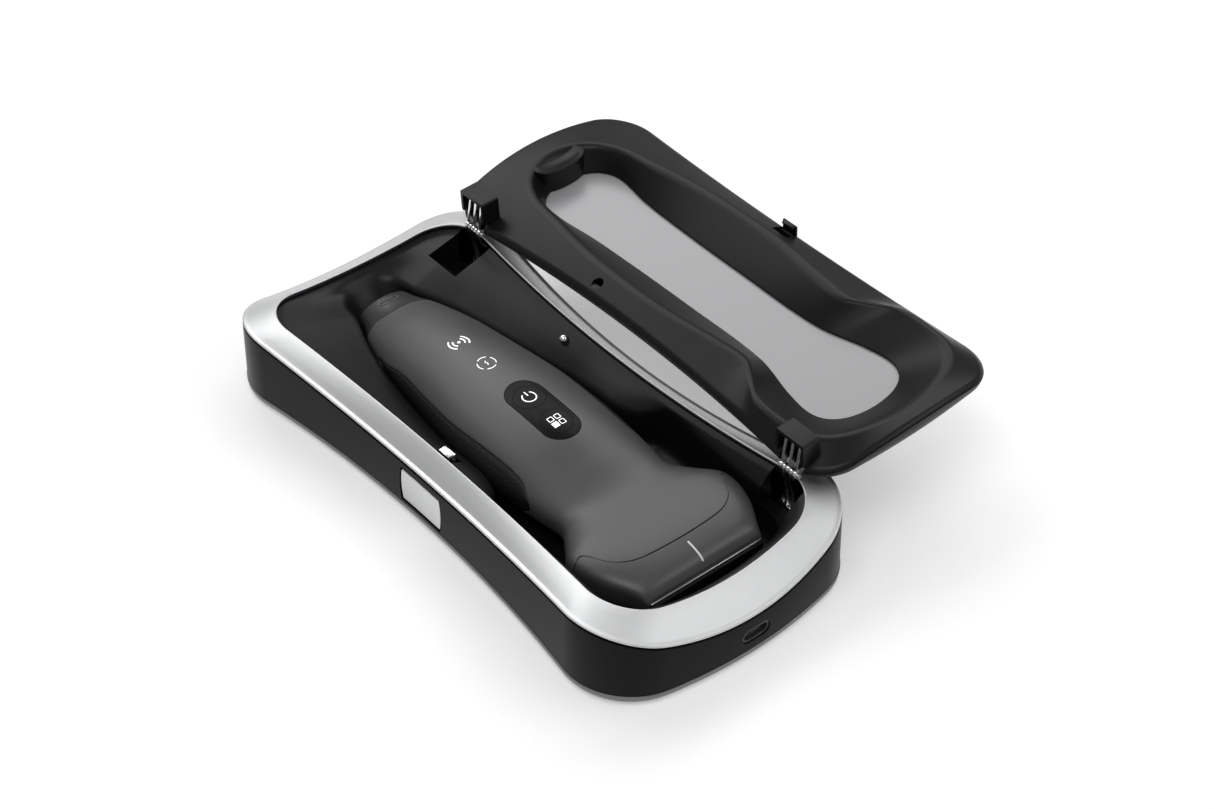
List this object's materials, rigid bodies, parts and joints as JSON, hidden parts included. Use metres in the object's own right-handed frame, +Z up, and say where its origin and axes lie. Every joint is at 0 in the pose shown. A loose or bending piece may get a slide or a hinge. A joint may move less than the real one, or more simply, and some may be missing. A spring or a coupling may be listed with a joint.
{
  "type": "handheld wireless ultrasound probe in a charging case",
  "caption": "Handheld ultrasound probe docked in a waisted charging case with a hinged lid, a release button and a charging port.",
  "frame": {"origin": "centre of the non-slip pad under the case, on the surface it stands on", "axes": "+X along the case towards the charging port and the probe's head, -Y towards the release button, +Y towards the hinges, +Z up"},
  "size_m": [0.2114, 0.1633, 0.0443],
  "materials": {
    "pad_rubber": "fine matte non-slip rubber",
    "plate_black": "fine moulded texture",
    "steel": "satin steel",
    "trim_silver": "bright satin",
    "wall_black": "matte black with a fine grain",
    "bezel_silver": "fine bead-blasted satin with polished lips",
    "tray_black": "soft-touch black",
    "button_silver": "fine bead-blasted satin",
    "spring_steel": "drawn wire",
    "port_black": "matte",
    "board_green": "solder mask",
    "copper": "enamelled wire",
    "ferrite": "sintered",
    "cell_foil": "foil pouch",
    "stud_chrome": "polished",
    "hinge_steel": "bright stamped steel",
    "lid_black": "soft-touch black",
    "liner_black": "soft-touch black",
    "window_smoke": "smoked, satin inside",
    "probe_grey": "fine satin charcoal",
    "collar_grey": "fine satin",
    "grip_rubber": "fine stippled rubber",
    "lens_black": "smooth silicone",
    "bead_silver": "satin",
    "mark_white": "printed",
    "panel_black": "satin gloss black",
    "light_white": "lit diffuser",
    "switch_grey": "moulded",
    "ceramic": "bonded stack"
  },
  "bodies": {
    "base": {"base_pad": "pad_rubber", "bottom_plate": "plate_black", "bottom_screws": "steel", "bottom_trim": "trim_silver", "side_wall": "wall_black", "bezel": "bezel_silver", "tray": "tray_black", "latch_spring": "spring_steel", "latch_guide": "port_black", "port_socket": "steel", "port_frame": "port_black", "charger_board": "board_green", "charge_coil": "copper", "coil_ferrite": "ferrite", "case_batteries": "cell_foil", "sensor_stud": "stud_chrome", "hinge_arms": "hinge_steel", "hinge_pins": "hinge_steel", "hinge_screws": "steel"},
    "lid": {"lid_leaves": "hinge_steel", "lid_shell": "lid_black", "lid_liner": "liner_black", "lid_window": "window_smoke", "lid_pad": "liner_black", "lid_strike": "steel", "lid_screws": "steel"},
    "latch": {"latch_button": "button_silver", "latch_arm": "steel"},
    "probe": {"probe_back": "probe_grey", "probe_front": "probe_grey", "tail_collar": "collar_grey", "tail_ring": "collar_grey", "grip_left": "grip_rubber", "grip_right": "grip_rubber", "head_shell": "probe_grey", "lens": "lens_black", "lens_bead": "bead_silver", "centre_mark": "mark_white", "key_panel": "panel_black", "signal_lights": "light_white", "key_switches": "switch_grey", "probe_board": "board_green", "probe_battery": "cell_foil", "probe_coil": "copper", "array_stack": "ceramic"},
    "power_button": {"power_key": "panel_black"},
    "mode_button": {"mode_key": "panel_black"}
  },
  "joints": [
    {"name": "lid_hinge", "type": "hinge", "parent": "base", "child": "lid", "pos_m": [0, 0.03787, 0.0306], "axis": [-1, 0, 0], "range_deg": [-177, 0]},
    {"name": "latch_slide", "type": "slide", "parent": "base", "child": "latch", "axis": [0, 1, 0], "range_m": [0, 0.0015], "stiffness_N_per_m": 400, "springref_m": -0.002, "deforming": ["latch_spring"]},
    {"name": "probe_lift", "type": "slide", "parent": "base", "child": "probe", "axis": [0, 0, 1], "range_m": [0, 0.06]},
    {"name": "power_press", "type": "slide", "parent": "probe", "child": "power_button", "axis": [0, 0, -1], "range_m": [0, 0.0005], "stiffness_N_per_m": 1500, "springref_m": -0.0004},
    {"name": "mode_press", "type": "slide", "parent": "probe", "child": "mode_button", "axis": [0, 0, -1], "range_m": [0, 0.0005], "stiffness_N_per_m": 1500, "springref_m": -0.0004}
  ]
}
